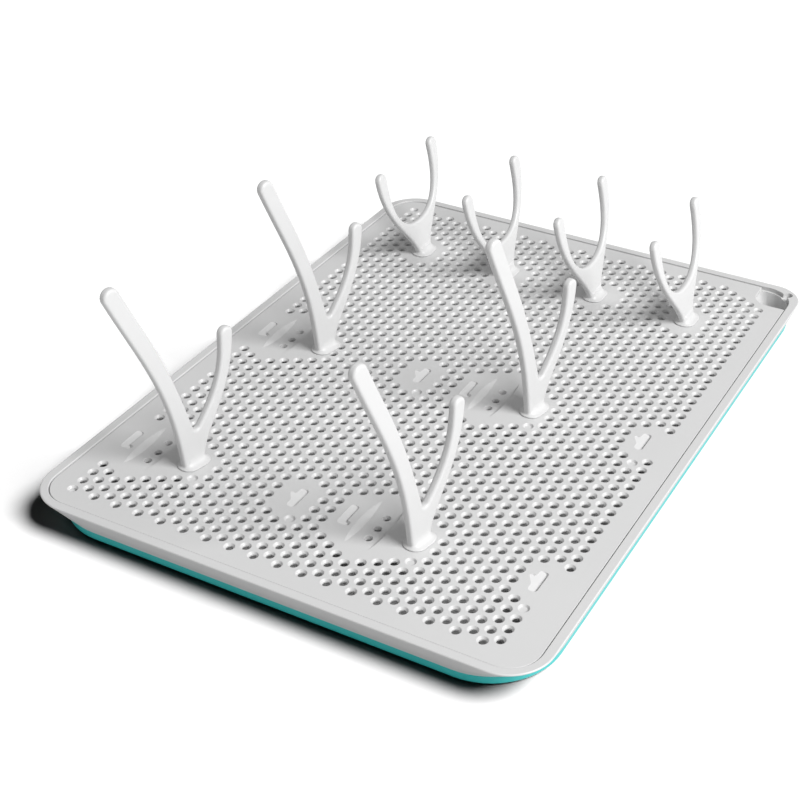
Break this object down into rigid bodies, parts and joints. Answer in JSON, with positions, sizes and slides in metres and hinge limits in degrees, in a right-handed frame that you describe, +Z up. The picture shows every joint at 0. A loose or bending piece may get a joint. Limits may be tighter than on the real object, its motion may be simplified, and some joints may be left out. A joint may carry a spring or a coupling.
{
  "type": "bottle drying rack",
  "caption": "Low countertop rack for drying baby bottles: a perforated lift-out plate with plug-in forked pegs over a drip tray with a pouring corner and a coloured base.",
  "frame": {"origin": "centre of the rack's underside, level with the bottom of the rubber feet", "axes": "+X across the short side towards the pouring corner's side, +Y along the long side towards the row of small pegs, +Z up"},
  "size_m": [0.2882, 0.3866, 0.1403],
  "materials": {
    "white_plastic": "satin moulded white",
    "peg_plastic": "smooth satin white",
    "teal_plastic": "satin teal",
    "rubber": "soft translucent grey"
  },
  "bodies": {
    "tray": {"drip_tray": "white_plastic", "base_cover": "teal_plastic", "rubber_foot_front_left": "rubber", "rubber_foot_front_right": "rubber", "rubber_foot_back_left": "rubber", "rubber_foot_back_right": "rubber"},
    "plate": {"drain_plate": "white_plastic"},
    "tall_peg_front_left": {"tall_peg_front_left": "peg_plastic"},
    "tall_peg_front_right": {"tall_peg_front_right": "peg_plastic"},
    "tall_peg_middle_left": {"tall_peg_middle_left": "peg_plastic"},
    "tall_peg_middle_right": {"tall_peg_middle_right": "peg_plastic"},
    "small_peg_left": {"small_peg_left": "peg_plastic"},
    "small_peg_inner_left": {"small_peg_inner_left": "peg_plastic"},
    "small_peg_inner_right": {"small_peg_inner_right": "peg_plastic"},
    "small_peg_right": {"small_peg_right": "peg_plastic"}
  },
  "joints": [
    {"name": "plate_lift", "type": "slide", "parent": "tray", "child": "plate", "axis": [0, 0, 1], "range_m": [0, 0.03]},
    {"name": "tall_peg_front_left_pull", "type": "slide", "parent": "plate", "child": "tall_peg_front_left", "axis": [0, 0, 1], "range_m": [0, 0.012]},
    {"name": "tall_peg_front_right_pull", "type": "slide", "parent": "plate", "child": "tall_peg_front_right", "axis": [0, 0, 1], "range_m": [0, 0.012]},
    {"name": "tall_peg_middle_left_pull", "type": "slide", "parent": "plate", "child": "tall_peg_middle_left", "axis": [0, 0, 1], "range_m": [0, 0.012]},
    {"name": "tall_peg_middle_right_pull", "type": "slide", "parent": "plate", "child": "tall_peg_middle_right", "axis": [0, 0, 1], "range_m": [0, 0.012]},
    {"name": "small_peg_left_pull", "type": "slide", "parent": "plate", "child": "small_peg_left", "axis": [0, 0, 1], "range_m": [0, 0.012]},
    {"name": "small_peg_inner_left_pull", "type": "slide", "parent": "plate", "child": "small_peg_inner_left", "axis": [0, 0, 1], "range_m": [0, 0.012]},
    {"name": "small_peg_inner_right_pull", "type": "slide", "parent": "plate", "child": "small_peg_inner_right", "axis": [0, 0, 1], "range_m": [0, 0.012]},
    {"name": "small_peg_right_pull", "type": "slide", "parent": "plate", "child": "small_peg_right", "axis": [0, 0, 1], "range_m": [0, 0.012]}
  ]
}
